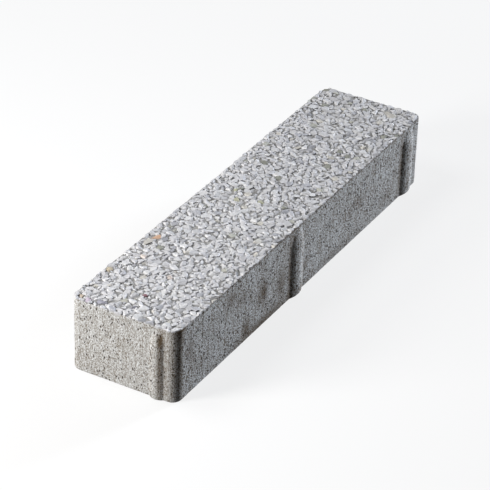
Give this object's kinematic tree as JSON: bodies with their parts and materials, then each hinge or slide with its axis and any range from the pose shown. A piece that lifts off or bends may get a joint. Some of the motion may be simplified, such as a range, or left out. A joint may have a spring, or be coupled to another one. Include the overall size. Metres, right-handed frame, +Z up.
{
  "type": "concrete paving stone",
  "caption": "Narrow rectangular concrete paving stone with an exposed-aggregate wearing face, rounded upright corners and rounded upright spacer ribs on all four sides.",
  "frame": {"origin": "centre of the bed face, the face that lies on the ground", "axes": "+X along the stone, +Y across it, +Z up out of the wearing face; the -X end's rib is on the -Y side of the middle"},
  "size_m": [0.503, 0.123, 0.08],
  "materials": {
    "concrete": "vibro-pressed concrete, with fine upright drag marks and pores on the sides and washed grey and white granite chips on top"
  },
  "bodies": {
    "root": {"paving_stone": "concrete"}
  },
  "joints": []
}
